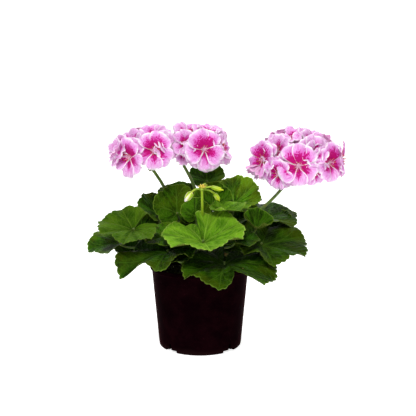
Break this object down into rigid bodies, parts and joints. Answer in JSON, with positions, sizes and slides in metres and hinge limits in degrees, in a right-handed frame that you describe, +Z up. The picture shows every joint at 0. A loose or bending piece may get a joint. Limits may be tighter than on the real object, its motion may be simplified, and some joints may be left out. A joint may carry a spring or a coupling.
{
  "type": "potted live plant",
  "caption": "Potted zonal geranium: round lobed leaves and domed heads of pink five-petalled flowers above a tapered nursery pot.",
  "frame": {"origin": "centre of the pot's underside, on the surface it stands on", "axes": "+Z up along the pot's axis, -Y towards the side with the large bright front leaf, +X to that side's right"},
  "size_m": [0.3047, 0.221, 0.2644],
  "materials": {
    "pot": "thin glossy burgundy plastic",
    "soil": "dry peaty potting mix, matte",
    "stem": "woody green-brown stem, satin",
    "leaf_bright": "soft living leaf, satin",
    "leaf_mid": "soft living leaf, satin",
    "leaf_dark": "soft living leaf, satin",
    "stalk": "green plant stalk, satin",
    "petal": "soft petal, matte",
    "bud": "soft bud, satin"
  },
  "bodies": {
    "root": {"pot": "pot", "soil": "soil", "stem": "stem", "leaf_front_centre": "leaf_bright", "leaf_left_upper": "leaf_bright", "leaf_left_tip": "leaf_dark", "leaf_lower_left": "leaf_dark", "leaf_lower_front": "leaf_mid", "leaf_right_low": "leaf_mid", "leaf_right_back": "leaf_dark", "leaf_right_small": "leaf_mid", "leaf_back_right": "leaf_mid", "leaf_back_dark": "leaf_dark", "leaf_left_back": "leaf_mid", "leaf_left_far": "leaf_dark", "leaf_centre_small": "leaf_mid", "leaf_centre_right": "leaf_bright", "leaf_mid_left": "leaf_mid", "leaf_mid_right": "leaf_dark", "leaf_right_dark": "leaf_dark", "leaf_left_behind": "leaf_dark", "leaf_back_low_1": "leaf_dark", "leaf_back_low_2": "leaf_dark", "leaf_back_low_3": "leaf_dark", "leaf_back_low_4": "leaf_dark", "leaf_back_low_5": "leaf_dark", "leaf_back_high_1": "leaf_mid", "leaf_back_high_2": "leaf_mid", "leaf_back_high_3": "leaf_mid", "umbel_left_stalk": "stalk", "umbel_left_florets": "petal", "umbel_middle_stalk": "stalk", "umbel_middle_florets": "petal", "umbel_right_stalk": "stalk", "umbel_right_florets": "petal", "umbel_bud": "bud"}
  },
  "joints": []
}
